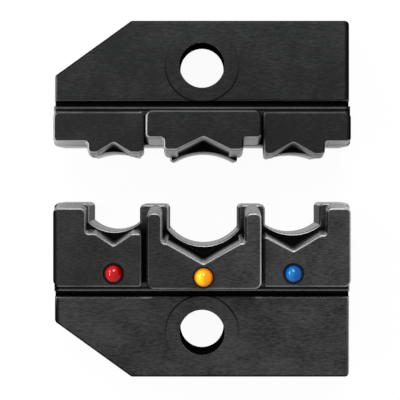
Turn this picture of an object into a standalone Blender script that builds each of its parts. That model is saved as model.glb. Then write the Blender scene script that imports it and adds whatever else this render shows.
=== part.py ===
"""Crimp die for insulated terminals: two loose steel halves that close on three colour-marked nests.

Both halves lie on their backs, a tool's opening apart. +Z comes out of the front faces, +Y runs from
the lower half to the upper one, and +X is to the right. Each half is drawn in its own flat frame:
x across, and h from the axis of its bolt hole toward the crimping edge. Lengths are in metres.
"""

import math

import bmesh
import bpy
from mathutils import Matrix, Vector

# Bolt hole for an M6 screw, and the shallow spot face that its head seats on
BOLT_HOLE_DIAMETER = 0.0061
HOLE_CHAMFER = 0.0002
SEAT_WIDTH = 0.00195
SPOT_FACE_DEPTH = 0.0001
SPOT_FACE_TILT = math.radians(0.8)

# Body plate, the same in both halves, and the metal left round the spot face
BODY_THICKNESS = 0.0080
CUT_CORNER_WIDTH = 0.0104
CUT_CORNER_LENGTH = 0.0075
BODY_CORNER = 0.0006
OUTER_RIM = 0.00105

# Relief groove between the plate and the base layer. The spot face just opens into it.
SPOT_FACE_OVERLAP = 0.0001
GROOVE_WIDTH = 0.00075
GROOVE_DEPTH = 0.0009

# Rise of the base layer and of the front blocks, and how deep the blocks run into the layer
LEDGE_RISE = 0.0006
OUTER_BLOCK_RISE = 0.0022
MIDDLE_BLOCK_RISE = 0.0032
BLOCK_SINK = 0.00035
STEP_CLEARANCE = 0.0002

# Places across the die, from the middle nest outward
NEST_SHIFT = 0.0002
MIDDLE_POST_WIDTH = 0.00215
BLOCK_GROOVE = 0.0004
V_END_MARGIN = 0.0004
NEST_TO_SIDE = 0.0080
BLOCK_INSET = 0.0001

# Places from the groove to the parting faces, where the lower half's posts meet the upper shoulders
LEDGE_STRIP = 0.00075
DOT_TO_V = 0.00015
MIDDLE_POST_DROP = 0.0002
SHOULDER_ABOVE_FOOT = 0.0047
CLOSED_GAP = 0.0001
CLOSING_TRAVEL = 0.0075

# Conductor nests of the base layer: half width, depth of the straight wall, sagitta of the round floor
RED_NEST = dict(half_width=0.00340, wall=0.0025, sagitta=0.0013)
YELLOW_NEST = dict(half_width=0.00472, wall=0.0034, sagitta=0.0023)
BLUE_NEST = dict(half_width=0.00367, wall=0.0029, sagitta=0.00125)

# Conductor teeth: reach beyond the shoulder, and sagitta of the hollow between the two lobes
RED_TOOTH = dict(reach=0.0017, sagitta=0.00075)
YELLOW_TOOTH = dict(reach=0.00245, sagitta=0.0015)
BLUE_TOOTH = dict(reach=0.0018, sagitta=0.00075)
TOOTH_CLEARANCE = 0.00018

# Insulation nests of the front blocks: half width, flats at each side, and the V between them
RED_V = dict(half_width=0.0037, flat_width=0.0013, flat_depth=0.0035, depth=0.0016)
YELLOW_V = dict(half_width=0.00545, flat_width=0.00065, flat_depth=0.0042, depth=0.0027)
BLUE_V = dict(half_width=0.0044, flat_width=0.0008, flat_depth=0.0037, depth=0.00215)

# Insulation teeth of the front blocks: reach beyond the shoulder, flats, and the V notch between them
RED_NOTCH = dict(reach=0.0014, flat_width=0.0013, depth=0.00135)
YELLOW_NOTCH = dict(reach=0.0015, flat_width=0.00175, depth=0.0017)
BLUE_NOTCH = dict(reach=0.0016, flat_width=0.00145, depth=0.0016)
FRONT_TOOTH_CLEARANCE = 0.0003

# Soft edges and corners. The crimping side of a front block flares open toward its face.
PLATE_EDGE = 0.00025
BLOCK_EDGE = 0.00025
BLOCK_CORNER = 0.00065
POST_CORNER = 0.0005
INNER_CORNER = 0.0004
OUTER_FLARE = 0.0005
MIDDLE_FLARE = 0.0009

# Colour dots, domed and seated in blind recesses
DOT_DIAMETER = 0.0026
DOT_CROWN = 0.0008
DOT_CLEARANCE = 0.00015
DOT_SEAT_GAP = 0.0002
DOT_RECESS_DEPTH = 0.0009
OUTER_DOT_MARGIN = 0.00035
MIDDLE_DOT_MARGIN = 0.0001

# Roundness of the drawn shapes, and how far a cutter runs past what it cuts
CIRCLE_STEPS = 48
ARC_STEPS = 14
CORNER_STEPS = 4
SHARP_ANGLE = math.radians(30)
CUT_MARGIN = 0.001

# What follows across the die
MIDDLE_BLOCK_HALF = YELLOW_V["half_width"] + MIDDLE_POST_WIDTH
SIDE_NEST_INSET = BLUE_V["half_width"] - BLUE_V["flat_width"] + V_END_MARGIN
NEST_PITCH = MIDDLE_BLOCK_HALF + BLOCK_GROOVE + SIDE_NEST_INSET
HALF_WIDTH = NEST_PITCH + NEST_TO_SIDE
RED_X, YELLOW_X, BLUE_X = (NEST_SHIFT + k * NEST_PITCH for k in (-1, 0, 1))
BLOCK_SIDE = HALF_WIDTH - BLOCK_INSET
MIDDLE_LEFT = YELLOW_X - MIDDLE_BLOCK_HALF
MIDDLE_RIGHT = YELLOW_X + MIDDLE_BLOCK_HALF
LEFT_BLOCK_END = MIDDLE_LEFT - BLOCK_GROOVE
RIGHT_BLOCK_START = MIDDLE_RIGHT + BLOCK_GROOVE

# What follows along the die, from the hole's axis
SPOT_FACE_DIAMETER = BOLT_HOLE_DIAMETER + 2 * SEAT_WIDTH
HOLE_TO_OUTER_EDGE = SPOT_FACE_DIAMETER / 2 + OUTER_RIM
HOLE_TO_GROOVE = SPOT_FACE_DIAMETER / 2 - SPOT_FACE_OVERLAP
LEDGE_EDGE = HOLE_TO_GROOVE + GROOVE_WIDTH
BLOCK_FOOT = LEDGE_EDGE + LEDGE_STRIP
RECESS_DIAMETER = DOT_DIAMETER + 2 * DOT_CLEARANCE
MIDDLE_DOT_TOP = BLOCK_FOOT + MIDDLE_DOT_MARGIN + RECESS_DIAMETER
MIDDLE_V_POINT = MIDDLE_DOT_TOP + DOT_TO_V + MIDDLE_FLARE + BLOCK_EDGE
POST_LENGTH = MIDDLE_V_POINT + YELLOW_V["depth"] + YELLOW_V["flat_depth"]
MIDDLE_POST_LENGTH = POST_LENGTH - MIDDLE_POST_DROP
SHOULDER_LENGTH = BLOCK_FOOT + SHOULDER_ABOVE_FOOT
OPENING = POST_LENGTH + SHOULDER_LENGTH + CLOSED_GAP + CLOSING_TRAVEL

# What follows above the back
LOWER_LEDGE = BODY_THICKNESS + LEDGE_RISE
UPPER_LEDGE = LOWER_LEDGE + BLOCK_SINK + STEP_CLEARANCE
OUTER_BLOCK_HEIGHT = LOWER_LEDGE + OUTER_BLOCK_RISE
MIDDLE_BLOCK_HEIGHT = OUTER_BLOCK_HEIGHT + MIDDLE_BLOCK_RISE


def new_collection(name):
    collection = bpy.data.collections.new(name)
    bpy.context.scene.collection.children.link(collection)
    return collection


def make_material(name, color, roughness, metallic):
    material = bpy.data.materials.new(name)
    material.use_nodes = True
    shader = material.node_tree.nodes["Principled BSDF"]
    shader.inputs["Base Color"].default_value = (*color, 1.0)
    shader.inputs["Roughness"].default_value = roughness
    shader.inputs["Metallic"].default_value = metallic
    material.diffuse_color = (*color, 1.0)
    return material


def round_corner(before, corner, after):
    """The points of one corner (x, h, radius): an arc that touches both of its sides."""
    tip = Vector(corner[:2])
    radius = corner[2]
    if not radius:
        return [tip]
    to_before = (Vector(before[:2]) - tip).normalized()
    to_after = (Vector(after[:2]) - tip).normalized()
    half_angle = to_before.angle(to_after) / 2
    centre = tip + (to_before + to_after).normalized() * (radius / math.sin(half_angle))
    first = tip + to_before * (radius / math.tan(half_angle)) - centre
    last = tip + to_after * (radius / math.tan(half_angle)) - centre
    start = math.atan2(first.y, first.x)
    turn = math.remainder(math.atan2(last.y, last.x) - start, 2 * math.pi)
    angles = [start + turn * k / CORNER_STEPS for k in range(CORNER_STEPS + 1)]
    return [centre + radius * Vector((math.cos(angle), math.sin(angle))) for angle in angles]


def hollow_arc(start, end, sagitta):
    """The inner points of an arc from start to end, whose middle lies the sagitta below its chord."""
    half = (end - start).length / 2
    radius = (half ** 2 + sagitta ** 2) / (2 * sagitta)
    centre = (start + end) / 2 + Vector((0, radius - sagitta))
    reach = math.copysign(math.asin(half / radius), end.x - start.x)
    angles = [reach * (2 * k / ARC_STEPS - 1) for k in range(1, ARC_STEPS)]
    return [centre + radius * Vector((math.sin(angle), -math.cos(angle))) for angle in angles]


def trace(corners):
    """An outline's points. A corner is (x, h, radius), and the sagitta of a hollow arc that leads on from it."""
    count = len(corners)
    arcs = [round_corner(corners[i - 1], corners[i], corners[(i + 1) % count]) for i in range(count)]
    points = []
    for i, corner in enumerate(corners):
        points += arcs[i]
        if len(corner) == 4:
            points += hollow_arc(arcs[i][-1], arcs[(i + 1) % count][0], corner[3])
    return points


def place(x, h, toward):
    """A point of a half's own frame in the object's frame. Toward is the Y sign of its crimping edge."""
    return x, toward * (h - OPENING / 2)


def join_caps(mesh, heights):
    """Welds a drawn solid and makes each of its two level ends one face."""
    bm = bmesh.new()
    bm.from_mesh(mesh)
    bmesh.ops.remove_doubles(bm, verts=bm.verts, dist=1e-6)
    for height in heights:
        cap = [face for face in bm.faces if all(abs(vert.co.z - height) < 1e-6 for vert in face.verts)]
        bmesh.ops.dissolve_faces(bm, faces=cap)
    bmesh.ops.recalc_face_normals(bm, faces=bm.faces)
    bm.to_mesh(mesh)
    bm.free()


def flat_prism(name, outline, bottom, top, toward, collection):
    """The solid between two heights of a flat outline in a half's own frame."""
    curve = bpy.data.curves.new(name, "CURVE")
    curve.dimensions = "2D"
    curve.fill_mode = "BOTH"
    curve.extrude = (top - bottom) / 2
    spline = curve.splines.new("POLY")
    spline.points.add(len(outline) - 1)
    for point, (x, h) in zip(spline.points, outline):
        point.co = (*place(x, h, toward), 0, 1)
    spline.use_cyclic_u = True
    drawing = bpy.data.objects.new(name + "_outline", curve)
    drawing.location.z = (top + bottom) / 2
    collection.objects.link(drawing)
    bpy.context.view_layer.update()
    graph = bpy.context.evaluated_depsgraph_get()
    mesh = bpy.data.meshes.new_from_object(drawing.evaluated_get(graph))
    mesh.transform(drawing.matrix_world)
    bpy.data.objects.remove(drawing)
    join_caps(mesh, (bottom, top))
    solid = bpy.data.objects.new(name, mesh)
    collection.objects.link(solid)
    return solid


def box_cutter(name, low, high, collection):
    bm = bmesh.new()
    bmesh.ops.create_cube(bm, size=1)
    size = Vector(high) - Vector(low)
    middle = (Vector(high) + Vector(low)) / 2
    bmesh.ops.transform(bm, matrix=Matrix.Translation(middle) @ Matrix.Diagonal((*size, 1)), verts=bm.verts)
    return add_mesh(name, bm, collection)


def disc_cutter(name, diameter, height, collection):
    """A cylinder that stands on its own origin."""
    bm = bmesh.new()
    bmesh.ops.create_cone(bm, cap_ends=True, segments=CIRCLE_STEPS, radius1=diameter / 2,
                          radius2=diameter / 2, depth=height, matrix=Matrix.Translation((0, 0, height / 2)))
    return add_mesh(name, bm, collection)


def add_mesh(name, bm, collection):
    mesh = bpy.data.meshes.new(name)
    bm.to_mesh(mesh)
    bm.free()
    obj = bpy.data.objects.new(name, mesh)
    collection.objects.link(obj)
    return obj


def turned(name, profile, collection):
    """A solid of revolution about its own Z axis, from a profile that runs down its outer side."""
    mesh = bpy.data.meshes.new(name)
    points = [(r, 0, z) for r, z in profile]
    mesh.from_pydata(points, [(i, i + 1) for i in range(len(points) - 1)], [])
    obj = bpy.data.objects.new(name, mesh)
    collection.objects.link(obj)
    screw = obj.modifiers.new("Turn", "SCREW")
    screw.axis = "Z"
    screw.steps = CIRCLE_STEPS
    screw.render_steps = CIRCLE_STEPS
    screw.use_merge_vertices = True
    screw.merge_threshold = 1e-6
    return obj


def shade_round_faces(obj):
    """Smooth shading, with the edges between flat faces kept sharp."""
    obj.data.shade_smooth()
    obj.data.set_sharp_from_angle(angle=SHARP_ANGLE)


def combine(obj, other, operation):
    """Joins the other solid to the object, or cuts it away, and leaves it as a hidden helper."""
    modifier = obj.modifiers.new(operation.title() + " " + other.name, "BOOLEAN")
    modifier.operation = operation
    modifier.solver = "EXACT"
    modifier.object = other
    other.hide_render = True
    other.display_type = "WIRE"


def apply_modifiers(obj):
    bpy.context.view_layer.update()
    graph = bpy.context.evaluated_depsgraph_get()
    mesh = bpy.data.meshes.new_from_object(obj.evaluated_get(graph))
    obj.modifiers.clear()
    obj.data = mesh


def soften(obj, height, width):
    """Rounds the outward edges that lie in one level plane."""
    bm = bmesh.new()
    bm.from_mesh(obj.data)
    edges = []
    for edge in bm.edges:
        level = all(abs(vert.co.z - height) < 1e-6 for vert in edge.verts)
        if level and edge.calc_face_angle_signed() > SHARP_ANGLE:
            edges.append(edge)
    bmesh.ops.bevel(bm, geom=edges, offset=width, segments=2, profile=0.5, affect="EDGES")
    bm.to_mesh(obj.data)
    bm.free()


def flare(obj, face, amount, toward):
    """Leans the crimping side of a front block back at its face. Its foot stays upright."""
    for vert in obj.data.vertices:
        h = toward * vert.co.y + OPENING / 2
        if abs(vert.co.z - face) < 1e-6 and h > BLOCK_FOOT + BLOCK_CORNER:
            vert.co.y -= toward * amount


def body_corners():
    """The plate's corners away from the crimping edge, left to right."""
    outer = -HOLE_TO_OUTER_EDGE
    return [
        (-HALF_WIDTH, outer + CUT_CORNER_LENGTH, BODY_CORNER),
        (CUT_CORNER_WIDTH - HALF_WIDTH, outer, BODY_CORNER),
        (HALF_WIDTH, outer, BODY_CORNER),
    ]


def lower_outline():
    """The lower base layer: four posts with three round-floored nests, right to left."""
    corners = body_corners() + [(HALF_WIDTH, POST_LENGTH, POST_CORNER)]
    nests = (
        (BLUE_X, BLUE_NEST, POST_LENGTH, MIDDLE_POST_LENGTH),
        (YELLOW_X, YELLOW_NEST, MIDDLE_POST_LENGTH, MIDDLE_POST_LENGTH),
        (RED_X, RED_NEST, MIDDLE_POST_LENGTH, POST_LENGTH),
    )
    for x, nest, right_post, left_post in nests:
        right, left = x + nest["half_width"], x - nest["half_width"]
        floor = POST_LENGTH - nest["wall"]
        corners += [
            (right, right_post, POST_CORNER),
            (right, floor, 0, nest["sagitta"]),
            (left, floor, 0),
            (left, left_post, POST_CORNER),
        ]
    return trace(corners + [(-HALF_WIDTH, POST_LENGTH, POST_CORNER)])


def upper_outline():
    """The upper base layer: shoulders with three hollow-ended teeth, right to left."""
    corners = body_corners() + [(HALF_WIDTH, SHOULDER_LENGTH, POST_CORNER)]
    teeth = (
        (BLUE_X, BLUE_NEST, BLUE_TOOTH),
        (YELLOW_X, YELLOW_NEST, YELLOW_TOOTH),
        (RED_X, RED_NEST, RED_TOOTH),
    )
    for x, nest, tooth in teeth:
        half = nest["half_width"] - TOOTH_CLEARANCE
        end = SHOULDER_LENGTH + tooth["reach"]
        corners += [
            (x + half, SHOULDER_LENGTH, INNER_CORNER),
            (x + half, end, INNER_CORNER, tooth["sagitta"]),
            (x - half, end, INNER_CORNER),
            (x - half, SHOULDER_LENGTH, INNER_CORNER),
        ]
    return trace(corners + [(-HALF_WIDTH, SHOULDER_LENGTH, POST_CORNER)])


def v_floor(x, shape):
    """The V of an insulation nest with the inner ends of its flats, right to left."""
    half = shape["half_width"] - shape["flat_width"]
    flat = POST_LENGTH - shape["flat_depth"]
    return [(x + half, flat, 0), (x, flat - shape["depth"], INNER_CORNER), (x - half, flat, 0)]


def post(inner, outer, floor, top):
    """The corners of a post, from the nest's floor up its inner side and over its top."""
    return [(inner, floor, INNER_CORNER), (inner, top, POST_CORNER), (outer, top, POST_CORNER)]


def lower_block_outlines():
    """The three front blocks of the lower half, each counter-clockwise in its own frame."""
    top = POST_LENGTH - BLOCK_INSET
    middle_top = MIDDLE_POST_LENGTH - BLOCK_INSET
    red_flat, yellow_flat, blue_flat = (POST_LENGTH - v["flat_depth"] for v in (RED_V, YELLOW_V, BLUE_V))
    left = [(-BLOCK_SIDE, BLOCK_FOOT, BLOCK_CORNER), (LEFT_BLOCK_END, BLOCK_FOOT, INNER_CORNER)]
    left += [(LEFT_BLOCK_END, red_flat, INNER_CORNER)] + v_floor(RED_X, RED_V)
    left += post(RED_X - RED_V["half_width"], -BLOCK_SIDE, red_flat, top)
    middle = [(MIDDLE_LEFT, BLOCK_FOOT, BLOCK_CORNER), (MIDDLE_RIGHT, BLOCK_FOOT, BLOCK_CORNER)]
    middle += post(YELLOW_X + YELLOW_V["half_width"], MIDDLE_RIGHT, yellow_flat, middle_top)[::-1]
    middle += v_floor(YELLOW_X, YELLOW_V)
    middle += post(YELLOW_X - YELLOW_V["half_width"], MIDDLE_LEFT, yellow_flat, middle_top)
    right = [(RIGHT_BLOCK_START, BLOCK_FOOT, INNER_CORNER), (BLOCK_SIDE, BLOCK_FOOT, BLOCK_CORNER)]
    right += post(BLUE_X + BLUE_V["half_width"], BLOCK_SIDE, blue_flat, top)[::-1]
    right += v_floor(BLUE_X, BLUE_V) + [(RIGHT_BLOCK_START, blue_flat, INNER_CORNER)]
    return trace(left), trace(middle), trace(right)


def v_notch(x, tooth_half, shape, end):
    """The V notch in a tooth's end, right to left."""
    half = tooth_half - shape["flat_width"]
    return [(x + half, end, 0), (x, end - shape["depth"], INNER_CORNER), (x - half, end, 0)]


def upper_block_outlines():
    """The three front blocks of the upper half: shoulders and V-notched teeth that run into the nests."""
    shoulder = SHOULDER_LENGTH - BLOCK_INSET
    red_end, yellow_end, blue_end = (
        SHOULDER_LENGTH + notch["reach"] for notch in (RED_NOTCH, YELLOW_NOTCH, BLUE_NOTCH)
    )
    red_half, yellow_half, blue_half = (
        v["half_width"] - FRONT_TOOTH_CLEARANCE for v in (RED_V, YELLOW_V, BLUE_V)
    )
    left = [(-BLOCK_SIDE, BLOCK_FOOT, BLOCK_CORNER), (LEFT_BLOCK_END, BLOCK_FOOT, INNER_CORNER)]
    left += [(LEFT_BLOCK_END, red_end, POST_CORNER)] + v_notch(RED_X, red_half, RED_NOTCH, red_end)
    left += [(RED_X - red_half, red_end, POST_CORNER), (RED_X - red_half, shoulder, INNER_CORNER)]
    left += [(-BLOCK_SIDE, shoulder, POST_CORNER)]
    middle = [(MIDDLE_LEFT, BLOCK_FOOT, BLOCK_CORNER), (MIDDLE_RIGHT, BLOCK_FOOT, BLOCK_CORNER)]
    middle += [(MIDDLE_RIGHT, shoulder, POST_CORNER), (YELLOW_X + yellow_half, shoulder, INNER_CORNER)]
    middle += [(YELLOW_X + yellow_half, yellow_end, POST_CORNER)]
    middle += v_notch(YELLOW_X, yellow_half, YELLOW_NOTCH, yellow_end)
    middle += [(YELLOW_X - yellow_half, yellow_end, POST_CORNER)]
    middle += [(YELLOW_X - yellow_half, shoulder, INNER_CORNER), (MIDDLE_LEFT, shoulder, POST_CORNER)]
    right = [(RIGHT_BLOCK_START, BLOCK_FOOT, INNER_CORNER), (BLOCK_SIDE, BLOCK_FOOT, BLOCK_CORNER)]
    right += [(BLOCK_SIDE, shoulder, POST_CORNER), (BLUE_X + blue_half, shoulder, INNER_CORNER)]
    right += [(BLUE_X + blue_half, blue_end, POST_CORNER)]
    right += v_notch(BLUE_X, blue_half, BLUE_NOTCH, blue_end) + [(RIGHT_BLOCK_START, blue_end, POST_CORNER)]
    return trace(left), trace(middle), trace(right)


def cut_step_and_groove(die, ledge, toward, cutters):
    """Mills the plate's face below the ledge, and the relief groove between the two."""
    side = HALF_WIDTH + CUT_MARGIN
    top = ledge + CUT_MARGIN
    cuts = (
        ("step", -HOLE_TO_OUTER_EDGE - CUT_MARGIN, HOLE_TO_GROOVE + GROOVE_WIDTH / 2, BODY_THICKNESS),
        ("groove", HOLE_TO_GROOVE, LEDGE_EDGE, BODY_THICKNESS - GROOVE_DEPTH),
    )
    for name, start, end, bottom in cuts:
        ends = sorted(place(0, h, toward)[1] for h in (start, end))
        cutter = box_cutter(f"{die.name}_{name}", (-side, ends[0], bottom), (side, ends[1], top), cutters)
        combine(die, cutter, "DIFFERENCE")


def cut_bolt_hole(die, toward, cutters):
    """The through hole with both rims broken, and the spot face that is deeper at the groove's side."""
    radius = BOLT_HOLE_DIAMETER / 2
    wide = radius + HOLE_CHAMFER + CUT_MARGIN
    top, bottom = BODY_THICKNESS + CUT_MARGIN, -CUT_MARGIN
    profile = [(0, top), (wide, top), (radius, BODY_THICKNESS - HOLE_CHAMFER)]
    profile += [(radius, HOLE_CHAMFER), (wide, bottom), (0, bottom)]
    hole = turned(die.name + "_hole", profile, cutters)
    spot = disc_cutter(die.name + "_spot_face", SPOT_FACE_DIAMETER, CUT_MARGIN, cutters)
    for cutter in (spot, hole):
        cutter.location.xy = place(0, 0, toward)
        combine(die, cutter, "DIFFERENCE")
    spot.location.z = BODY_THICKNESS - SPOT_FACE_DEPTH
    spot.rotation_euler.x = -toward * SPOT_FACE_TILT


def make_half(name, outline, block_outlines, ledge, toward, steel, parts, cutters):
    """One die half: a slab with a milled plate, three front blocks on its base layer, and the bolt hole."""
    die = flat_prism(name, outline, 0, ledge, toward, parts)
    cut_step_and_groove(die, ledge, toward, cutters)
    apply_modifiers(die)
    for height in (0, BODY_THICKNESS, ledge):
        soften(die, height, PLATE_EDGE)
    shade_round_faces(die)
    blocks = (
        ("left", OUTER_BLOCK_HEIGHT, OUTER_FLARE),
        ("middle", MIDDLE_BLOCK_HEIGHT, MIDDLE_FLARE),
        ("right", OUTER_BLOCK_HEIGHT, OUTER_FLARE),
    )
    for (side, face, amount), block_outline in zip(blocks, block_outlines):
        block = flat_prism(f"{name}_{side}_block", block_outline, ledge - BLOCK_SINK, face, toward, cutters)
        flare(block, face, amount, toward)
        soften(block, face, BLOCK_EDGE)
        shade_round_faces(block)
        combine(die, block, "UNION")
    cut_bolt_hole(die, toward, cutters)
    die.data.materials.append(steel)
    return die


def make_dot(color_name, color, x, margin, face, die, parts, cutters):
    """A domed colour dot in its blind recess, a margin above the foot of its block."""
    h = BLOCK_FOOT + margin + RECESS_DIAMETER / 2
    recess = disc_cutter(f"{color_name}_recess", RECESS_DIAMETER, DOT_RECESS_DEPTH + CUT_MARGIN, cutters)
    recess.location = (*place(x, h, 1), face - DOT_RECESS_DEPTH)
    combine(die, recess, "DIFFERENCE")
    radius = DOT_DIAMETER / 2
    dome_radius = (radius ** 2 + DOT_CROWN ** 2) / (2 * DOT_CROWN)
    sweep = math.asin(radius / dome_radius)
    steps = CIRCLE_STEPS // 6
    angles = [sweep * k / steps for k in range(steps + 1)]
    profile = [(dome_radius * math.sin(a), DOT_CROWN + dome_radius * (math.cos(a) - 1)) for a in angles]
    seat = DOT_SEAT_GAP - DOT_RECESS_DEPTH
    dot = turned("dot_" + color_name, profile + [(radius, seat), (0, seat)], parts)
    dot.location = (*place(x, h, 1), face)
    dot.data.materials.append(make_material(color_name + "_enamel", color, 0.15, 0.0))
    return dot


def main():
    for obj in list(bpy.data.objects):
        bpy.data.objects.remove(obj, do_unlink=True)
    parts = new_collection("crimp_die")
    cutters = new_collection("cutters_and_joined_blocks")
    steel = make_material("burnished_steel", (0.028, 0.029, 0.030), 0.45, 0.85)
    blocks = lower_block_outlines()
    lower = make_half("lower_die", lower_outline(), blocks, LOWER_LEDGE, 1, steel, parts, cutters)
    make_half("upper_die", upper_outline(), upper_block_outlines(), UPPER_LEDGE, -1, steel, parts, cutters)
    dots = (
        ("red", (0.55, 0.004, 0.008), RED_X, OUTER_DOT_MARGIN, OUTER_BLOCK_HEIGHT),
        ("yellow", (0.90, 0.35, 0.01), YELLOW_X, MIDDLE_DOT_MARGIN, MIDDLE_BLOCK_HEIGHT),
        ("blue", (0.005, 0.09, 0.42), BLUE_X, OUTER_DOT_MARGIN, OUTER_BLOCK_HEIGHT),
    )
    for color_name, color, x, margin, face in dots:
        make_dot(color_name, color, x, margin, face, lower, parts, cutters)


main()
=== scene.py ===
"""Two crimp die halves for insulated terminals, lying on a white table and seen from straight above."""
import math

import bmesh
import bpy
import numpy as np
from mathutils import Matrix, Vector


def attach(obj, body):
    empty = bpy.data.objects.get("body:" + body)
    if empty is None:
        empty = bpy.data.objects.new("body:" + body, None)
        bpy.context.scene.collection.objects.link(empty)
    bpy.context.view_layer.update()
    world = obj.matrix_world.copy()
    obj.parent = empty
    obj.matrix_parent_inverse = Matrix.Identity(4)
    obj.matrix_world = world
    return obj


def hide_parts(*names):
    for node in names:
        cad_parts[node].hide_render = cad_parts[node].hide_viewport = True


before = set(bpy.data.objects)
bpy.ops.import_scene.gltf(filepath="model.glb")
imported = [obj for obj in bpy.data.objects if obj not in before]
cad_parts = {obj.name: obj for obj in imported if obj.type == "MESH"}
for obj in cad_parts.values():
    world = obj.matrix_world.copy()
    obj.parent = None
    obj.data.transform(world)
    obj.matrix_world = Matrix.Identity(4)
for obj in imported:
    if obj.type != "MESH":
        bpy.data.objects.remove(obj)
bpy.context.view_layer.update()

scene = bpy.context.scene

# The camera. It hangs over the pair and looks straight down, a little nearer to the upper half, and
# its picture is shifted by a few pixels so that both halves sit where the photograph has them.
CAMERA_PLACE = (0.0, 0.00255, 0.168)
CAMERA_LENS = 106.1
CAMERA_SHIFT = (-0.005, -0.05)
SENSOR_WIDTH = 36.0
CLIP_NEAR, CLIP_FAR = 0.01, 10.0

camera_data = bpy.data.cameras.new("Overhead")
camera_data.lens = CAMERA_LENS
camera_data.sensor_width = SENSOR_WIDTH
camera_data.shift_x, camera_data.shift_y = CAMERA_SHIFT
camera_data.clip_start = CLIP_NEAR
camera_data.clip_end = CLIP_FAR
camera = bpy.data.objects.new("Overhead", camera_data)
camera.location = CAMERA_PLACE
scene.collection.objects.link(camera)
scene.camera = camera
scene.view_settings.view_transform = "Standard"

# The lower half. One piece of tool steel: a plate with a screw hole and a cut corner, a base layer
# with three round-floored nests beyond a relief groove, and three front blocks with V nests. It is
# milled and ground, then burnished black and brushed across on its front faces.
OPENING = 0.0363
PLATE_TOP = 0.0080
PLATE_SIDE = 0.0200
PLATE_FOOT = -0.00605
CUT_CORNER = (0.0104, 0.0075)
GROOVE = (0.0049, 0.00565)
GROOVE_BOTTOM = 0.0071
LOWER_LEDGE = 0.0086
BLOCK_FOOT = 0.0064
BLOCK_SINK = 0.00035
BLOCK_SIDE = 0.0199
OUTER_FACE, MIDDLE_FACE = 0.0108, 0.0140
OUTER_FLARE, MIDDLE_FLARE = 0.0005, 0.0009
SIDE_BLOCK_ENDS = (-0.0078, 0.0082)
MIDDLE_BLOCK_ENDS = (-0.0074, 0.0078)
LEFT_BLOCK_RELIEF, MIDDLE_BLOCK_RELIEF = 0.0003, 0.00015
NEST_X = {"red": -0.0118, "yellow": 0.0002, "blue": 0.0122}
OUTER_POST, MIDDLE_POST = 0.0176, 0.0174
POST_INSET = 0.0001

# Half width, foot of the straight wall and sagitta of each round floor, then half width, flat width,
# height of the flats and depth of each V
ROUND_NEST = {"red": (0.0034, 0.0151, 0.0013), "yellow": (0.00472, 0.0142, 0.0023),
              "blue": (0.00367, 0.0147, 0.00125)}
V_NEST = {"red": (0.0037, 0.0013, 0.0141, 0.0016), "yellow": (0.00545, 0.00065, 0.0134, 0.0027),
          "blue": (0.0044, 0.0008, 0.0139, 0.00215)}

PLATE_ROUND = 0.0006
POST_ROUND = 0.00062
BLOCK_ROUND = 0.00095
BLOCK_POST_ROUND = 0.0008
INNER_ROUND = 0.0004
FLAT_ROUND = 0.0009
LOBE_ROUND = 0.00036
SOFT_EDGE = 0.00035
ARC_STEPS = 10
FLOOR_STEPS = 40
EDGE_STEPS = 5
TURN_STEPS = 96
CUT_MARGIN = 0.001
MERGE_GAP = 1e-7
SHARP_ANGLE = math.radians(40)

HOLE_RADIUS = 0.00305
HOLE_LIP = 0.0002
SPOT_RADIUS = 0.0050
SPOT_DEPTH = 0.0001
SPOT_TILT = math.radians(0.8)


def outline(corners):
    """A closed flat line through corners (x, h, radius, sagitta), as complex numbers x + ih.

    A corner becomes the arc of its radius that touches both of its sides: centre + radius e^(ia).
    Where a sagitta is given, the side that runs on to the left becomes a hollow arc, whose middle lies
    that far below its chord: centre + R (sin a, -cos a), R = (chord^2 / 4 + sagitta^2) / (2 sagitta).
    """
    x, h, radius, sagitta = np.array([(*corner, 0.0)[:4] for corner in corners]).T
    tip = x + 1j * h
    before, after = np.roll(tip, 1) - tip, np.roll(tip, -1) - tip
    bow = np.exp(2j * np.arctan(2 * sagitta / abs(after)))
    before, after = before / abs(before) * np.roll(bow, 1).conj(), after / abs(after) * bow
    half = abs(np.angle(after / before)) / 2
    inward = (before + after) / abs(before + after) * radius / np.sin(half)
    first = before * radius / np.tan(half) - inward
    last = after * radius / np.tan(half) - inward
    turn = np.angle(last * first.conj())
    share = np.linspace(0, 1, ARC_STEPS + 1)
    arcs = (tip + inward)[:, None] + radius[:, None] * np.exp(
        1j * (np.angle(first)[:, None] + turn[:, None] * share))
    line = []
    for k, arc in enumerate(arcs):
        line.append(arc if radius[k] else arc[:1])
        if sagitta[k]:
            start, end = arc[-1], arcs[(k + 1) % len(arcs)][0]
            reach, rise = abs(end - start) / 2, sagitta[k] - (tip[k] - start).imag
            bend = (reach ** 2 + rise ** 2) / (2 * rise)
            angle = -math.asin(reach / bend) * np.linspace(-1, 1, FLOOR_STEPS + 1)[1:-1]
            centre = (start + end) / 2 + 1j * (bend - rise)
            line.append(centre + bend * (np.sin(angle) - 1j * np.cos(angle)))
    return np.concatenate(line)


def carried(line, profile, lean=0.0, lean_from=0.0):
    """The rings that a profile (inset, z) draws when it is carried round a closed line.

    P(s, t) = line(s) - inset(t) m(s) at height z(t), where m is the outward mitre of the two sides
    that meet at s. Past lean_from, the rings lean back by lean times their share of the height.
    """
    inset, z = np.array(profile).T
    side = np.roll(line, -1) - line
    after = -1j * side / abs(side)
    before = np.roll(after, 1)
    mitre = (before + after) / (1 + (before * after.conj()).real)
    rings = line[None, :] - inset[:, None] * mitre[None, :]
    share = (z - z[0]) / (z[-1] - z[0])
    rings = rings - 1j * lean * share[:, None] * (line.imag > lean_from)[None, :]
    return rings, np.broadcast_to(z[:, None], rings.shape)


def soft_end(end, edge):
    """A quarter round that closes a wall at a height: inset |e| (1 - cos a) at height end - e + e sin a."""
    angle = np.linspace(0, math.pi / 2, EDGE_STEPS + 1)
    return list(zip(abs(edge) * (1 - np.cos(angle)), end - edge + edge * np.sin(angle)))


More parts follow.
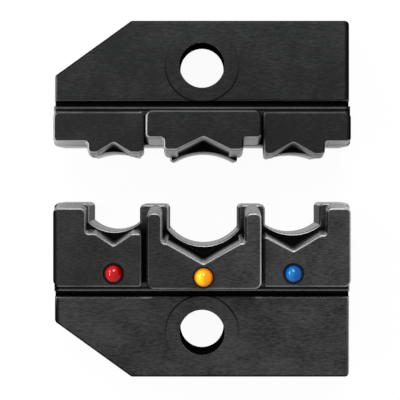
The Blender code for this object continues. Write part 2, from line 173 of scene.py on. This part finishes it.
def shell(name, x, y, z):
    """A closed body from a grid of points: rings one above the other, with a flat face on each end."""
    rows, columns = x.shape
    mesh = bpy.data.meshes.new(name)
    index = np.arange(rows * columns).reshape(rows, columns)
    ahead = np.roll(index, -1, axis=1)
    quads = np.stack([index[:-1], ahead[:-1], ahead[1:], index[1:]], axis=-1).reshape(-1, 4)
    faces = quads.tolist() + [index[0, ::-1].tolist(), index[-1].tolist()]
    mesh.from_pydata(np.stack([x, y, z], axis=-1).reshape(-1, 3).tolist(), [], faces)
    piece = bpy.data.objects.new(name, mesh)
    scene.collection.objects.link(piece)
    return piece


def raised(name, corners, profile, toward, lean=0.0):
    """The solid over a flat outline in a half's own frame: y = toward (h - OPENING / 2)."""
    rings, z = carried(outline(corners), profile, lean, BLOCK_FOOT + BLOCK_ROUND)
    if toward < 0:
        rings = rings[:, ::-1]
    return shell(name, rings.real, toward * (rings.imag - OPENING / 2), z)


def turned(name, profile, place, tilt=0.0):
    """A surface of revolution: each (radius, z) of a profile, read upward, is a ring about the place.

    A tilt turns it into a plane cut on the slope: the height grows by y tan(tilt).
    """
    radius, z = np.array(profile).T
    angle = np.linspace(0, 2 * math.pi, TURN_STEPS, endpoint=False)
    x = radius[:, None] * np.cos(angle)
    y = radius[:, None] * np.sin(angle)
    height = np.broadcast_to(z[:, None], x.shape) + y * math.tan(tilt)
    return shell(name, place[0] + x, place[1] + y, height)


def baked(piece):
    """Gives a piece the mesh that its modifiers make, and removes them."""
    bpy.context.view_layer.update()
    graph = bpy.context.evaluated_depsgraph_get()
    mesh = bpy.data.meshes.new_from_object(piece.evaluated_get(graph))
    piece.modifiers.clear()
    piece.data = mesh


def combined(piece, others, operation):
    """Adds other bodies to a piece, or cuts them out of it, and removes them."""
    for other in others:
        step = piece.modifiers.new(operation, "BOOLEAN")
        step.operation = operation
        step.solver = "EXACT"
        step.object = other
    baked(piece)
    for other in others:
        bpy.data.objects.remove(other)


def finished(piece):
    """Smooth shading that keeps flat faces flat: every corner's normal leans to the largest face."""
    bm = bmesh.new()
    bm.from_mesh(piece.data)
    bmesh.ops.remove_doubles(bm, verts=bm.verts, dist=MERGE_GAP)
    bm.to_mesh(piece.data)
    bm.free()
    piece.data.shade_smooth()
    piece.data.set_sharp_from_angle(angle=SHARP_ANGLE)
    weigh = piece.modifiers.new("Weighted", "WEIGHTED_NORMAL")
    weigh.weight = 100
    weigh.keep_sharp = True
    baked(piece)


PLATE_CORNERS = [(-PLATE_SIDE, PLATE_FOOT + CUT_CORNER[1], PLATE_ROUND),
                 (CUT_CORNER[0] - PLATE_SIDE, PLATE_FOOT, PLATE_ROUND),
                 (PLATE_SIDE, PLATE_FOOT, PLATE_ROUND)]


def milled_half(name, corners, ledge, toward, blocks):
    """A half without its finish: a slab, the plate and base layer on it, the blocks and the screw hole."""
    groove_start, groove_end = GROOVE
    sunk = GROOVE_BOTTOM - BLOCK_SINK
    slab = soft_end(0.0, -SOFT_EDGE)[::-1] + [(0.0, GROOVE_BOTTOM)]
    piece = raised(name, PLATE_CORNERS + corners, slab, toward)
    plate = PLATE_CORNERS + [(PLATE_SIDE, groove_start, 0.0), (-PLATE_SIDE, groove_start, 0.0)]
    layer = [(-PLATE_SIDE, groove_end, 0.0), (PLATE_SIDE, groove_end, 0.0)] + corners
    added = [raised("plate", plate, [(0.0, sunk)] + soft_end(PLATE_TOP, SOFT_EDGE), toward),
             raised("layer", layer, [(0.0, sunk)] + soft_end(ledge, SOFT_EDGE), toward)]
    for k, (block, face, lean) in enumerate(blocks):
        profile = [(0.0, ledge - BLOCK_SINK)] + soft_end(face, SOFT_EDGE)
        added.append(raised(f"block_{k}", block, profile, toward, lean))
    combined(piece, added, "UNION")
    lip = [(HOLE_RADIUS + inset, z) for inset, z in soft_end(PLATE_TOP, HOLE_LIP)]
    lower_lip = [(radius, PLATE_TOP - z) for radius, z in reversed(lip)]
    rim = HOLE_RADIUS + HOLE_LIP
    hole_place = (0.0, -toward * OPENING / 2)
    above_plate = PLATE_TOP + CUT_MARGIN
    hole = turned("hole", [(rim, -CUT_MARGIN), *lower_lip, *lip, (rim, above_plate)], hole_place)
    spot = turned("spot", [(SPOT_RADIUS, PLATE_TOP - SPOT_DEPTH), (SPOT_RADIUS, above_plate)],
                  hole_place, -toward * SPOT_TILT)
    combined(piece, [spot, hole], "DIFFERENCE")
    return piece


lower_corners = [(PLATE_SIDE, OUTER_POST, POST_ROUND)]
for color, right_post, left_post in (("blue", OUTER_POST, MIDDLE_POST),
                                     ("yellow", MIDDLE_POST, MIDDLE_POST),
                                     ("red", MIDDLE_POST, OUTER_POST)):
    half, foot, sagitta = ROUND_NEST[color]
    right, left = NEST_X[color] + half, NEST_X[color] - half
    lower_corners += [(right, right_post, POST_ROUND), (right, foot, 0.0, sagitta), (left, foot, 0.0),
                      (left, left_post, POST_ROUND)]
lower_corners += [(-PLATE_SIDE, OUTER_POST, POST_ROUND)]


def v_floor(color):
    """The V of an insulation nest with the inner ends of its flats, right to left."""
    half, flat, level, depth = V_NEST[color]
    x = NEST_X[color]
    return [(x + half - flat, level, FLAT_ROUND), (x, level - depth, INNER_ROUND),
            (x - half + flat, level, FLAT_ROUND)]


def v_post(color, side, outer, top):
    """A post of a front block, from the flat of its nest over its top. Side is 1 at the nest's right."""
    half, _, level, _ = V_NEST[color]
    inner = NEST_X[color] + side * half
    return [(inner, level, INNER_ROUND), (inner, top - POST_INSET, BLOCK_POST_ROUND),
            (outer, top - POST_INSET, BLOCK_POST_ROUND)]


left_end, right_end = SIDE_BLOCK_ENDS[0] - LEFT_BLOCK_RELIEF, SIDE_BLOCK_ENDS[1]
middle_left, middle_right = MIDDLE_BLOCK_ENDS[0] + MIDDLE_BLOCK_RELIEF, MIDDLE_BLOCK_ENDS[1]
lower_blocks = [
    ([(-BLOCK_SIDE, BLOCK_FOOT, BLOCK_ROUND), (left_end, BLOCK_FOOT, INNER_ROUND),
      (left_end, V_NEST["red"][2], INNER_ROUND)] + v_floor("red")
     + v_post("red", -1, -BLOCK_SIDE, OUTER_POST), OUTER_FACE, OUTER_FLARE),
    ([(middle_left, BLOCK_FOOT, BLOCK_ROUND), (middle_right, BLOCK_FOOT, BLOCK_ROUND)]
     + v_post("yellow", 1, middle_right, MIDDLE_POST)[::-1] + v_floor("yellow")
     + v_post("yellow", -1, middle_left, MIDDLE_POST), MIDDLE_FACE, MIDDLE_FLARE),
    ([(right_end, BLOCK_FOOT, INNER_ROUND), (BLOCK_SIDE, BLOCK_FOOT, BLOCK_ROUND)]
     + v_post("blue", 1, BLOCK_SIDE, OUTER_POST)[::-1] + v_floor("blue")[:2]
     + [(right_end, V_NEST["blue"][2], INNER_ROUND)], OUTER_FACE, OUTER_FLARE),
]

lower_half = milled_half("lower_half_steel", lower_corners, LOWER_LEDGE, 1, lower_blocks)

DOT_RADIUS = 0.0013
DOT_GAP = 0.00015
RECESS_DEPTH = 0.0009
DOT_PLACE = {"red": (0.0082, OUTER_FACE), "yellow": (0.00795, MIDDLE_FACE), "blue": (0.0082, OUTER_FACE)}

recesses = []
for color, (h, face) in DOT_PLACE.items():
    wide = DOT_RADIUS + DOT_GAP
    recesses.append(turned("recess_" + color, [(wide, face - RECESS_DEPTH), (wide, face + CUT_MARGIN)],
                           (NEST_X[color], h - OPENING / 2)))
combined(lower_half, recesses, "DIFFERENCE")
finished(lower_half)


class Wire:
    """A value, vector or colour on its way through a material. Operators on it add Math nodes."""

    def __init__(self, tree, socket=None):
        self.tree = tree
        self.socket = socket

    def node(self, kind, settings=None, inputs=None, output=0):
        """A new node of a kind: its settings first, then the values or wires of its sockets."""
        made = self.tree.nodes.new("ShaderNode" + kind)
        for name, value in (settings or {}).items():
            setattr(made, name, value)
        for name, value in (inputs or {}).items():
            if isinstance(value, Wire):
                self.tree.links.new(value.socket, made.inputs[name])
            else:
                made.inputs[name].default_value = value
        return Wire(self.tree, made.outputs[output])

    def maths(self, operation, *values):
        return self.node("Math", {"operation": operation}, dict(enumerate(values)))

    def __add__(self, other):
        return self.maths("ADD", self, other)

    def __sub__(self, other):
        return self.maths("SUBTRACT", self, other)

    def __mul__(self, other):
        return self.maths("MULTIPLY", self, other)

    def __gt__(self, other):
        return self.maths("GREATER_THAN", self, other)

    def __lt__(self, other):
        return self.maths("LESS_THAN", self, other)

    def __rsub__(self, other):
        return self.maths("SUBTRACT", other, self)

    def __abs__(self):
        return self.maths("ABSOLUTE", self)

    __radd__ = __add__
    __rmul__ = __mul__

    def rise(self, low, high):
        """Nought below low, one above high, with a smooth step between."""
        return self.node("MapRange", {"interpolation_type": "SMOOTHSTEP"},
                         {"Value": self, "From Min": low, "From Max": high})

    def spread(self, low, high):
        """A value from 0 to 1 stretched over the range from low to high."""
        return self * (high - low) + low

    def towards(self, mask, other):
        """This colour, or another one where the mask is one."""
        return self.node("Mix", {"data_type": "RGBA"}, {0: mask, 6: self, 7: other}, 2)

    def grain(self, scale, stretch=(1, 1, 1), detail=2.0, roughness=0.5):
        """Noise on these coordinates, drawn out along the axes with a small stretch."""
        drawn = self.node("Mapping", None, {"Vector": self, "Scale": stretch})
        return self.node("TexNoise", None, {"Vector": drawn, "Scale": scale, "Detail": detail,
                                            "Roughness": roughness})


def new_material(name):
    """A material's shader node, with a wire to draw its nodes from."""
    material = bpy.data.materials.new(name)
    material.use_nodes = True
    return material, material.node_tree.nodes["Principled BSDF"], Wire(material.node_tree)


def feed(shader, wire, name):
    wire.tree.links.new(wire.socket, shader.inputs[name])


# Colours of the finish, darkest to lightest: a black painted as shade, the brushed tones, ground walls
# with a painted reflection on them, and edges with painted highlights
SHADE_BLACK = (0.003, 0.003, 0.0033, 1.0)
BRUSHED = (0.016, 0.0164, 0.0165, 1.0)
BRUSHED_LIGHT = (0.071, 0.0717, 0.0742, 1.0)
GROUND_WALL_AND_SHEEN = (0.34, 0.34, 0.344, 1.0)
BARE_EDGE_AND_HIGHLIGHT = (0.55, 0.55, 0.556, 1.0)

# Waves a metre of the brushing, which runs across, of the clouds in it and of the fine speckle
BRUSH_GRAIN, CLOUD_GRAIN, SPECKLE_GRAIN = 6200, 170, 5200
BRUSH_STRETCH = (0.22, 1, 1)
STEEL_ROUGHNESS = (0.34, 0.50)
GRAIN_DEPTH = 0.00003

# How far up a surface looks on a front face, an upright wall and a rounded edge, and from where it
# counts as turned to the other half, and as level
FRONT = (0.80, 0.985)
UPRIGHT = (0.12, 0.45)
ROUNDED = (0.93, 0.999)
TURNED = (0.1, 0.5)
LEVEL = 0.95

# Painted light and shade in the tone: the lower half lighter from left to right, its left blocks darker and
# the upper half darker; and the ledges lighter
LOWER_TONE = (0.85, 1.2)
LEFT_BLOCKS_END, LEFT_BLOCKS_SHADE = 0.006, 0.42
UPPER_TONE = (-0.15, 0.30)
LEDGE_TONE = 0.3
LEDGE_BAND = (0.0083, 0.0095)

# Ground walls, a lighter plain steel with a painted reflection on them: how far they look toward the other
# half, the painted shade that darkens them deeper inside the lower nests, and the slot that is painted
# light
PRESSING_AND_SHEEN = (0.1, 0.6)
NEST_WALL_TOP, NEST_WALL_START = 0.0085, 0.0012
NEST_WALL_SHADE = (0.7, 0.4)
LIT_SLOT, SLOT_REACH, SLOT_FOOT = 0.0078, 0.00055, 0.0088

# The flanks of a V: how far they lean, where they start, how deep they are painted black as shade, and the
# V's apex
FLANK_LEAN = (0.88, 0.96)
FLANK_END = 0.3
FLANK_FOOT = (0.00865, 0.0092)
FLANK_DEPTH = (0.0003, 0.0030)
V_APEX = 0.0005
MIDDLE_BLOCK_REACH = 0.0077

# Edges: painted light that grows from the unlit to the lit end of a half, wear in the crimp zone and
# painted highlights on edges turned to the lit side, weaker on foot edges, a painted highlight line along
# the lit outer sides and painted shade along the unlit ones
LIT_END_REACH, LIT_END_LIGHT = 0.018, (0.75, 1.2)
CRIMP_ZONE = 0.0120
RUBBED_AND_LIT_FROM, LIT_EDGE_TO = (-0.5, -0.05), (0.2, 0.8)
LIT_EDGE_BY_HALF = (1.2, 0.8)
FOOT_EDGE, FOOT_EDGE_DULL = (-0.6, -0.1), (0.4, 0.75)
SIDE_LINE, SIDE_LINE_TONE = (0.00018, 0.00042), 0.3
SIDE_SHADE = (0.00035, 0.00080)

# Places painted matt black as shade: the groove, the foot of each block, the spot face's ring, the nests
# behind the Vs; and a painted highlight on the groove's edge
GROOVE_MIDDLE = 0.00527
GROOVE_REACH, GROOVE_EDGE_HIGHLIGHT, GROOVE_WALL_REACH = 0.0009, 0.25, 0.0005
FOOT_LINE, FOOT_LINE_SOFT = 0.00026, (0.00012, 0.00022)
RING_SOFT, RING_FADE = (0.00004, 0.00019), (-0.002, 0.0035)
NEST_MOUTH, NEST_END = (0.0137, 0.0162), 0.0113
SIDEWAYS = (0.86, 0.98)
POST_SIDE, POST_START = 0.0165, 0.0135


def burnished_steel():
    """Black-burnished tool steel, brushed across on its front faces, with light and shade painted into its
    colour.
    Its ground walls that face the other half are a lighter plain steel with a painted reflection; its edges
    wear lighter in the crimp zone and carry painted highlights on the lit side and painted shade on the
    other;
    the tone is painted lighter to the right on the lower half and darker on its left blocks and on the
    upper half; and the groove, the hole, the sunk planes, the deep V flanks and the nests' side walls are
    painted matt black as shade.

    Both halves share it. Inward is the distance from a half's hole toward the other half, and lit and
    facing are a surface's lean to the half's right and to the other half; the upper half is turned round.
    """
    material, shader, wire = new_material("burnished_steel")
    place, normal = wire.node("TexCoord", output=3), wire.node("TexCoord", output=1)
    across, along, height = (wire.node("SeparateXYZ", None, {0: place}, k) for k in range(3))
    side, end, up = (wire.node("SeparateXYZ", None, {0: normal}, k) for k in range(3))
    above = along > 0
    toward = 1 - above * 2
    facing, lit, rightward = end * toward, side * toward, across * toward
    from_middle, from_side = abs(along), PLATE_SIDE - abs(across)
    inward = OPENING / 2 - from_middle
    from_hole = wire.maths("SQRT", across * across + inward * inward)
    face = abs(up).rise(*FRONT)
    wall = 1 - abs(up).rise(*UPRIGHT)
    edge = (1 - face) * (1 - wall)
    ledge = (height > LEDGE_BAND[0]) * (height < LEDGE_BAND[1])
    turned_away = 1 - facing.rise(*TURNED)

    brush = place.grain(BRUSH_GRAIN, BRUSH_STRETCH, 3.0, 0.7)
    clouds = place.grain(CLOUD_GRAIN, detail=3.0, roughness=0.6)
    speckle = place.grain(SPECKLE_GRAIN, detail=3.0, roughness=0.6)
    tone = brush.rise(0.30, 0.70) * 0.6 + clouds.rise(0.3, 0.7) * 0.4
    # Painted light and shade: the lower half lighter toward its right and darker on its left blocks, the
    # upper half darker; the ledges are made lighter
    below = (1 - above) * across.rise(-PLATE_SIDE, PLATE_SIDE).spread(*LOWER_TONE)
    left_block = (height > LEDGE_BAND[1]) * (1 - across.rise(-LEFT_BLOCKS_END, LEFT_BLOCKS_END))
    below = below * (1 - left_block * LEFT_BLOCKS_SHADE)
    tone = tone * below + tone.spread(*UPPER_TONE) * above + ledge * (inward < BLOCK_FOOT) * LEDGE_TONE
    color = wire.node("RGB")
    color.socket.default_value = BRUSHED
    color = color.towards(tone, BRUSHED_LIGHT)

    # Painted shade: the V flanks turn matt black the deeper they run
    middle = abs(across - NEST_X["yellow"]) < MIDDLE_BLOCK_REACH
    depth = (middle.spread(OUTER_FACE, MIDDLE_FACE) - height).rise(*FLANK_DEPTH)
    apex = sum(abs(across - x) < V_APEX for x in NEST_X.values())
    in_v = sum(abs(across - NEST_X[color_name]) < half - above * flat
               for color_name, (half, flat, *_) in V_NEST.items())
    flank = wire.maths("MAXIMUM", 1 - facing.rise(*FLANK_LEAN), apex)
    flank = flank * (height > above.spread(*FLANK_FOOT)) * (facing > FLANK_END) * in_v * depth
    # Ground walls facing the other half take a lighter colour that also paints their reflection; painted
    # shade makes the lower nests' walls darker toward their foot
    nest_wall = (along < -NEST_WALL_START) * (height < NEST_WALL_TOP)
    shade = nest_wall * height.rise(0.0, NEST_WALL_TOP).spread(*NEST_WALL_SHADE)
    pressing_and_sheen = (1 - face) * facing.rise(*PRESSING_AND_SHEEN) * (1 - flank) * (1 - shade)
    # Painted light: ground walls and edges lighter toward the lit end of each half
    lit_end_light = rightward.rise(-LIT_END_REACH, LIT_END_REACH).spread(*LIT_END_LIGHT)
    color = color.towards(pressing_and_sheen * lit_end_light * speckle.rise(-0.3, 0.7), GROUND_WALL_AND_SHEEN)
    # Painted light: the slot beside the middle block on each half's lit side takes the ground walls' light
    # colour
    slot = (abs(rightward - LIT_SLOT) < SLOT_REACH) * (height > SLOT_FOOT) * (inward > BLOCK_FOOT)
    color = color.towards(slot * (1 - face) * 0.9, GROUND_WALL_AND_SHEEN)

    # Edges: wear in the crimp zone, and painted highlights on edges turned to the lit side beyond it
    lit_edge_highlight = lit.rise(*LIT_EDGE_TO) * above.spread(*LIT_EDGE_BY_HALF)
    rubbed_and_lit = lit.rise(*RUBBED_AND_LIT_FROM) * wire.maths("MAXIMUM", from_middle < CRIMP_ZONE, lit_edge_highlight)
    rubbed_and_lit = rubbed_and_lit * (1 - (1 - facing.rise(*FOOT_EDGE)) * above.spread(*FOOT_EDGE_DULL))
    # Painted highlight on the groove's edge in the lower half
    by_groove = abs(inward - GROOVE_MIDDLE) < GROOVE_REACH
    bare_and_highlight = rubbed_and_lit * lit_end_light * speckle.rise(0.0, 0.5) * clouds.rise(0.1, 0.6)
    color = color.towards(edge * (bare_and_highlight + by_groove * (1 - above) * GROOVE_EDGE_HIGHLIGHT), BARE_EDGE_AND_HIGHLIGHT)
    # Painted highlight: a light line along each half's lit outer side
    lit_side = (1 - from_side.rise(*SIDE_LINE)) * (rightward > 0) * (1 - wall)
    color = color.towards(lit_side * SIDE_LINE_TONE, GROUND_WALL_AND_SHEEN)

    feed(shader, color, "Base Color")
    feed(shader, brush.spread(*STEEL_ROUGHNESS), "Roughness")
    shader.inputs["Metallic"].default_value = 0.9
    relief = brush * face + speckle * (1 - face) * 0.6
    bump = wire.node("Bump", None, {"Height": relief, "Strength": 0.25, "Distance": GRAIN_DEPTH})
    feed(shader, bump, "Normal")

    # Painted shade: the sunk nest floors and the groove's bottom, a line at each block's foot, the spot
    # face's ring, the bore, the nests' side walls, the groove's walls, unlit edges and sides and the deep V
    # flanks turn matt black
    nest_floor = ledge * (from_middle < NEST_END) * (1 - inward.rise(*NEST_MOUTH) * 0.85)
    sunk = (nest_floor + (height < (GROOVE_BOTTOM + PLATE_TOP) / 2)) * (up > LEVEL)
    foot = 1 - abs(inward - BLOCK_FOOT + FOOT_LINE).rise(*FOOT_LINE_SOFT)
    foot = foot * (up > LEVEL) * (height < LEDGE_BAND[1]) * 0.9
    on_plate = (height > GROOVE_BOTTOM) * (height < PLATE_TOP + SPOT_DEPTH)
    ring = (1 - abs(from_hole - SPOT_RADIUS).rise(*RING_SOFT)) * inward.rise(*RING_FADE) * on_plate * 0.8
    bore = wall * (from_hole < HOLE_RADIUS + HOLE_LIP)
    nest_side = wall * abs(side).rise(*SIDEWAYS) * (abs(across) < POST_SIDE) * (inward > POST_START) * 0.6
    groove_wall = wall * (abs(inward - GROOVE_MIDDLE) < GROOVE_WALL_REACH) * (height > GROOVE_BOTTOM)
    dark_edge = (1 - abs(up).rise(*ROUNDED)) * (1 - wall) * turned_away
    dark_edge = dark_edge * (1 - rubbed_and_lit) * (1 - by_groove) * 0.8
    dark_side = (1 - from_side.rise(*SIDE_SHADE)) * (rightward < 0) * (1 - wall) * turned_away * 0.9
    black = sunk + foot + ring + bore + nest_side + groove_wall + dark_edge + dark_side + flank * (1 - face)
    black = wire.maths("MINIMUM", black, 1)
    # The matt black that paints this shade, mixed in by the mask above
    matt_values = {"Base Color": SHADE_BLACK, "Roughness": 0.9, "Specular IOR Level": 0.0}
    matt = wire.node("BsdfPrincipled", None, matt_values)
    mixed = wire.node("MixShader", None, {0: black, 1: Wire(wire.tree, shader.outputs[0]), 2: matt})
    wire.tree.links.new(mixed.socket, wire.tree.nodes["Material Output"].inputs["Surface"])
    return material


steel = burnished_steel()
lower_half.data.materials.clear()
lower_half.data.materials.append(steel)
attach(lower_half, "lower_half")
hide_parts("lower_die")

# The upper half. It is milled from the same steel in the same way: shoulders with three hollow-ended
# teeth in the base layer, which press the wire barrels, and notched teeth in front of them.
UPPER_LEDGE = 0.00915
SHOULDER = 0.0111
TOOTH_GAP = 0.00018
FRONT_TOOTH_GAP = 0.00018

# Reach and hollow of each tooth of the base layer, then reach, flat width and notch of each front one
HOLLOW_TOOTH = {"red": (0.0017, 0.00075), "yellow": (0.00245, 0.0015), "blue": (0.0018, 0.00075)}
NOTCHED_TOOTH = {"red": (0.0014, 0.0013, 0.00135), "yellow": (0.0015, 0.00175, 0.0017),
                 "blue": (0.0016, 0.00145, 0.0016)}

upper_corners = [(PLATE_SIDE, SHOULDER, POST_ROUND)]
for color in ("blue", "yellow", "red"):
    half = ROUND_NEST[color][0] - TOOTH_GAP
    reach, hollow = HOLLOW_TOOTH[color]
    x, end = NEST_X[color], SHOULDER + reach
    upper_corners += [(x + half, SHOULDER, INNER_ROUND), (x + half, end, LOBE_ROUND, hollow),
                      (x - half, end, LOBE_ROUND), (x - half, SHOULDER, INNER_ROUND)]
upper_corners += [(-PLATE_SIDE, SHOULDER, POST_ROUND)]


def notched_tooth(color, sides):
    """A front tooth with a V notch in its end, right to left. Sides are its outer corners, or None
    where the tooth runs on into the block's own side."""
    reach, flat, depth = NOTCHED_TOOTH[color]
    half = V_NEST[color][0] - FRONT_TOOTH_GAP
    x, end, shoulder = NEST_X[color], SHOULDER + reach, SHOULDER - POST_INSET
    right = [(x + half, shoulder, INNER_ROUND), (x + half, end, POST_ROUND)]
    left = [(x - half, end, POST_ROUND), (x - half, shoulder, INNER_ROUND)]
    notch = [(x + half - flat, end, FLAT_ROUND), (x, end - depth, INNER_ROUND),
             (x - half + flat, end, FLAT_ROUND)]
    return (right if "right" in sides else []) + notch + (left if "left" in sides else [])


shoulder = SHOULDER - POST_INSET
left_end, right_end = SIDE_BLOCK_ENDS
middle_left, middle_right = MIDDLE_BLOCK_ENDS
upper_blocks = [
    ([(-BLOCK_SIDE, BLOCK_FOOT, BLOCK_ROUND), (left_end, BLOCK_FOOT, INNER_ROUND),
      (left_end, SHOULDER + NOTCHED_TOOTH["red"][0], POST_ROUND)] + notched_tooth("red", ("left",))
     + [(-BLOCK_SIDE, shoulder, POST_ROUND)], OUTER_FACE, OUTER_FLARE),
    ([(middle_left, BLOCK_FOOT, BLOCK_ROUND), (middle_right, BLOCK_FOOT, BLOCK_ROUND),
      (middle_right, shoulder, POST_ROUND)] + notched_tooth("yellow", ("left", "right"))
     + [(middle_left, shoulder, POST_ROUND)], MIDDLE_FACE, MIDDLE_FLARE),
    ([(right_end, BLOCK_FOOT, INNER_ROUND), (BLOCK_SIDE, BLOCK_FOOT, BLOCK_ROUND),
      (BLOCK_SIDE, shoulder, POST_ROUND)] + notched_tooth("blue", ("right",))
     + [(right_end, SHOULDER + NOTCHED_TOOTH["blue"][0], POST_ROUND)], OUTER_FACE, OUTER_FLARE),
]

upper_half = milled_half("upper_half_steel", upper_corners, UPPER_LEDGE, -1, upper_blocks)
finished(upper_half)
upper_half.data.materials.clear()
upper_half.data.materials.append(steel)
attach(upper_half, "upper_half")
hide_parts("upper_die")

# The colour dots. Each is a drop of enamel that was poured into a round recess under its nest and
# set with a glossy dome; its colour tells which terminals the nest takes.
DOT_CROWN = 0.0008
DOT_SEAT = 0.0007
DOT_DRAW_IN = 0.00008
DOT_TOP_ANGLE = 0.02
DOT_RINGS = 16
DOT_SHARP_ANGLE = math.radians(50)
ENAMEL_CLOUDS, ENAMEL_GRAIN = 1400, 2500
ENAMEL_ROUGHNESS = (0.07, 0.11)

# How far up a drop's surface looks where its painted rim shade ends, and where its painted pale top begins
DOT_RIM, DOT_TOP = (0.42, 0.80), (0.55, 0.85)

# Colour of each drop at its rim, painted as shade, on its body, and where it is palest, painted as light on
# its top and left
DOT_COLOR = {"red": ((0.06, 0.0, 0.0, 1.0), (0.36, 0.0, 0.001, 1.0), (0.45, 0.0, 0.003, 1.0)),
             "yellow": ((0.50, 0.14, 0.0, 1.0), (0.92, 0.27, 0.0, 1.0), (0.95, 0.55, 0.003, 1.0)),
             "blue": ((0.0, 0.010, 0.06, 1.0), (0.0, 0.070, 0.30, 1.0), (0.0, 0.150, 0.42, 1.0))}


def dome(name, place, face):
    """A drop of enamel: a spherical cap, r = R sin a and z = crown - R (1 - cos a), on a short stem."""
    radius = DOT_RADIUS - DOT_DRAW_IN
    sphere = (radius ** 2 + DOT_CROWN ** 2) / (2 * DOT_CROWN)
    angle = np.linspace(math.asin(radius / sphere), DOT_TOP_ANGLE, DOT_RINGS)
    cap = zip(sphere * np.sin(angle), face + DOT_CROWN - sphere * (1 - np.cos(angle)))
    return turned(name, [(radius, face - DOT_SEAT), *cap], place)


def enamel(name, rim, deep, light):
    """Glossy enamel, with painted shade where the drop's rim runs down into its recess, and painted light
    that makes it paler to the left on top.
    """
    material, shader, wire = new_material(name)
    place = wire.node("TexCoord", output=3)
    clouds = place.grain(ENAMEL_CLOUDS, detail=2.0)
    side, up = (wire.node("SeparateXYZ", None, {0: wire.node("TexCoord", output=1)}, k) for k in (0, 2))
    # Painted shade at the rim, then painted light on the top toward the left
    color = wire.node("RGB")
    color.socket.default_value = rim
    color = color.towards(up.rise(*DOT_RIM), deep)
    paler = (clouds * 0.7 - side).rise(0.0, 0.75)
    feed(shader, color.towards(up.rise(*DOT_TOP) * paler, light), "Base Color")
    feed(shader, place.grain(ENAMEL_GRAIN).spread(*ENAMEL_ROUGHNESS), "Roughness")
    shader.inputs["Specular IOR Level"].default_value = 0.35
    return material


for color, (h, face) in DOT_PLACE.items():
    dot = dome(f"{color}_enamel_dot", (NEST_X[color], h - OPENING / 2), face)
    dot.data.shade_smooth()
    dot.data.set_sharp_from_angle(angle=DOT_SHARP_ANGLE)
    dot.data.materials.append(enamel(color + "_enamel", *DOT_COLOR[color]))
    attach(dot, "lower_half")
    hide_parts("dot_" + color)

# The table and the light. A white sheet under the pair, a long strip lamp at its left and a square one
# beyond the upper half, and a pale room all round that the steel reflects.
TABLE_HALF = 0.6
TABLE_DROP = -0.00002
SHEET_COLOR = (0.9, 0.9, 0.9, 1.0)
SHEET_GLOW = 0.95
ROOM_STRENGTH = 0.62

table_mesh = bpy.data.meshes.new("Table")
table_signs = ((-1, -1), (1, -1), (1, 1), (-1, 1))
table_corners = [(x * TABLE_HALF, y * TABLE_HALF, TABLE_DROP) for x, y in table_signs]
table_mesh.from_pydata(table_corners, [], [(0, 1, 2, 3)])
table = bpy.data.objects.new("Table", table_mesh)
scene.collection.objects.link(table)

paper, paper_shader, paper_wire = new_material("white_sheet")
paper_shader.inputs["Base Color"].default_value = SHEET_COLOR
paper_shader.inputs["Roughness"].default_value = 0.9
from_camera, from_gloss, through_glass = (paper_wire.node("LightPath", output=k) for k in (0, 3, 6))
seen = paper_wire.maths("MAXIMUM", from_camera, paper_wire.maths("MAXIMUM", from_gloss, through_glass))
glow = paper_wire.node("Emission", None, {"Color": (1, 1, 1, 1), "Strength": 1.0})
shaded_sheet = Wire(paper.node_tree, paper_shader.outputs[0])
sheet = paper_wire.node("MixShader", None, {0: seen * SHEET_GLOW, 1: shaded_sheet, 2: glow})
paper.node_tree.links.new(sheet.socket, paper.node_tree.nodes["Material Output"].inputs["Surface"])
table_mesh.materials.append(paper)

world = bpy.data.worlds.new("Pale room")
world.use_nodes = True
scene.world = world
background = world.node_tree.nodes["Background"]
background.inputs["Color"].default_value = (1.0, 1.0, 1.0, 1.0)
background.inputs["Strength"].default_value = ROOM_STRENGTH


def soft_box(name, place, size, power, aim=(0, 0, 0)):
    """A rectangular lamp turned to face a point."""
    lamp = bpy.data.lights.new(name, "AREA")
    lamp.shape = "RECTANGLE"
    lamp.size, lamp.size_y = size
    lamp.energy = power
    light = bpy.data.objects.new(name, lamp)
    light.location = place
    light.rotation_euler = (Vector(aim) - Vector(place)).to_track_quat("-Z", "Y").to_euler()
    scene.collection.objects.link(light)


soft_box("Left strip", place=(-0.27, 0.03, 0.26), size=(0.34, 0.05), power=0.8)
soft_box("Top square", place=(0.0, 0.30, 0.40), size=(0.20, 0.20), power=1.5)
